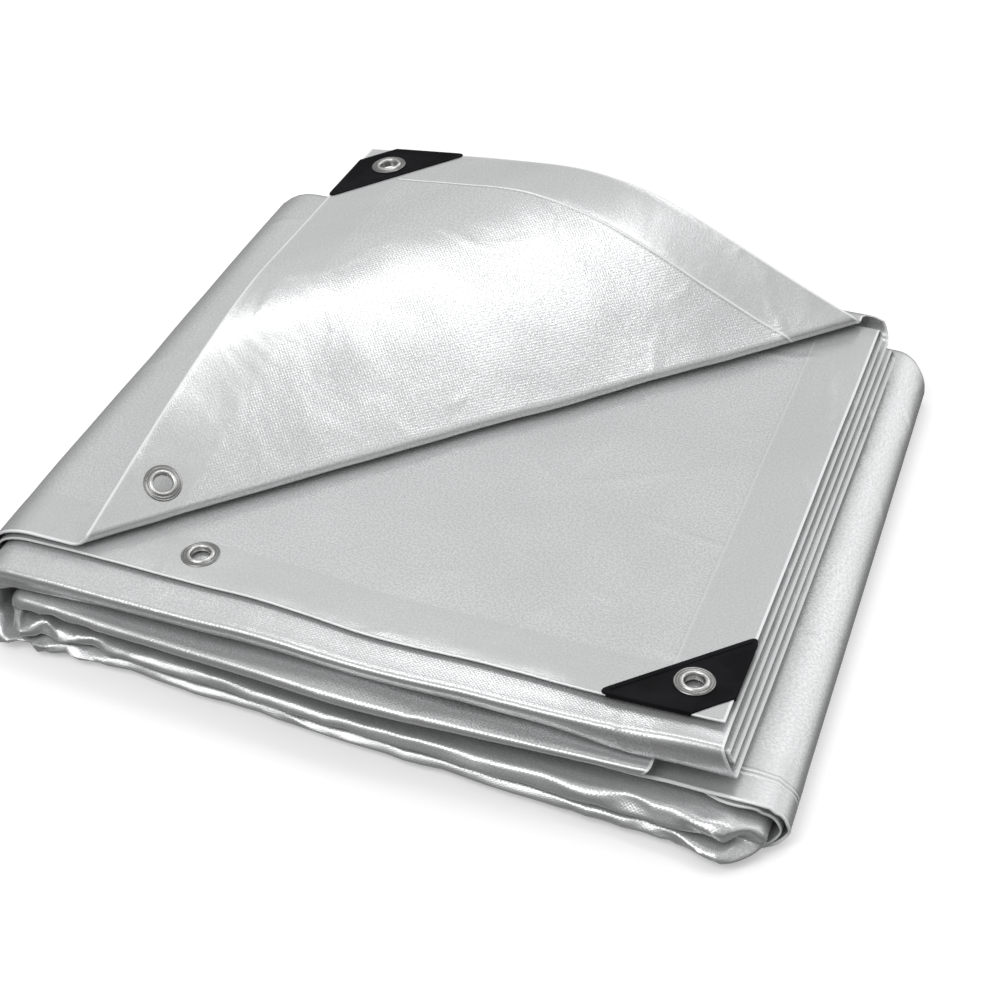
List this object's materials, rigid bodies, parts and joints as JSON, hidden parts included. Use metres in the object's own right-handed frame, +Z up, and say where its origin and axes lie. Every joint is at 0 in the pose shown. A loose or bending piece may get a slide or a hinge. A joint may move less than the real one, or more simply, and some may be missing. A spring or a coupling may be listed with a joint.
{
  "type": "folded tarp",
  "caption": "Reinforced hemmed tarpaulin folded into a flat square stack, with its top corner turned back over a diagonal crease, black corner pockets and metal eyelets.",
  "frame": {"origin": "centre of the footprint on the surface that the folded tarp lies on", "axes": "+Z up, X along the front edge with the outer fold to -X, +Y from the front edge to the back"},
  "size_m": [0.6228, 0.6382, 0.1901],
  "materials": {
    "sheet": "coated woven polyethylene, silver grey, semi-gloss",
    "hem": "doubled coated woven polyethylene, silver grey, semi-gloss",
    "pocket": "matte black",
    "eyelet": "satin"
  },
  "bodies": {
    "root": {"tarp_sheet": "sheet", "hem_strip_lower": "hem", "hem_strip_upper": "hem", "corner_pocket_lower": "pocket", "corner_pocket_upper": "pocket", "eyelet_lower_corner": "eyelet", "eyelet_lower_edge": "eyelet", "eyelet_upper_corner": "eyelet", "eyelet_upper_edge": "eyelet"}
  },
  "joints": []
}
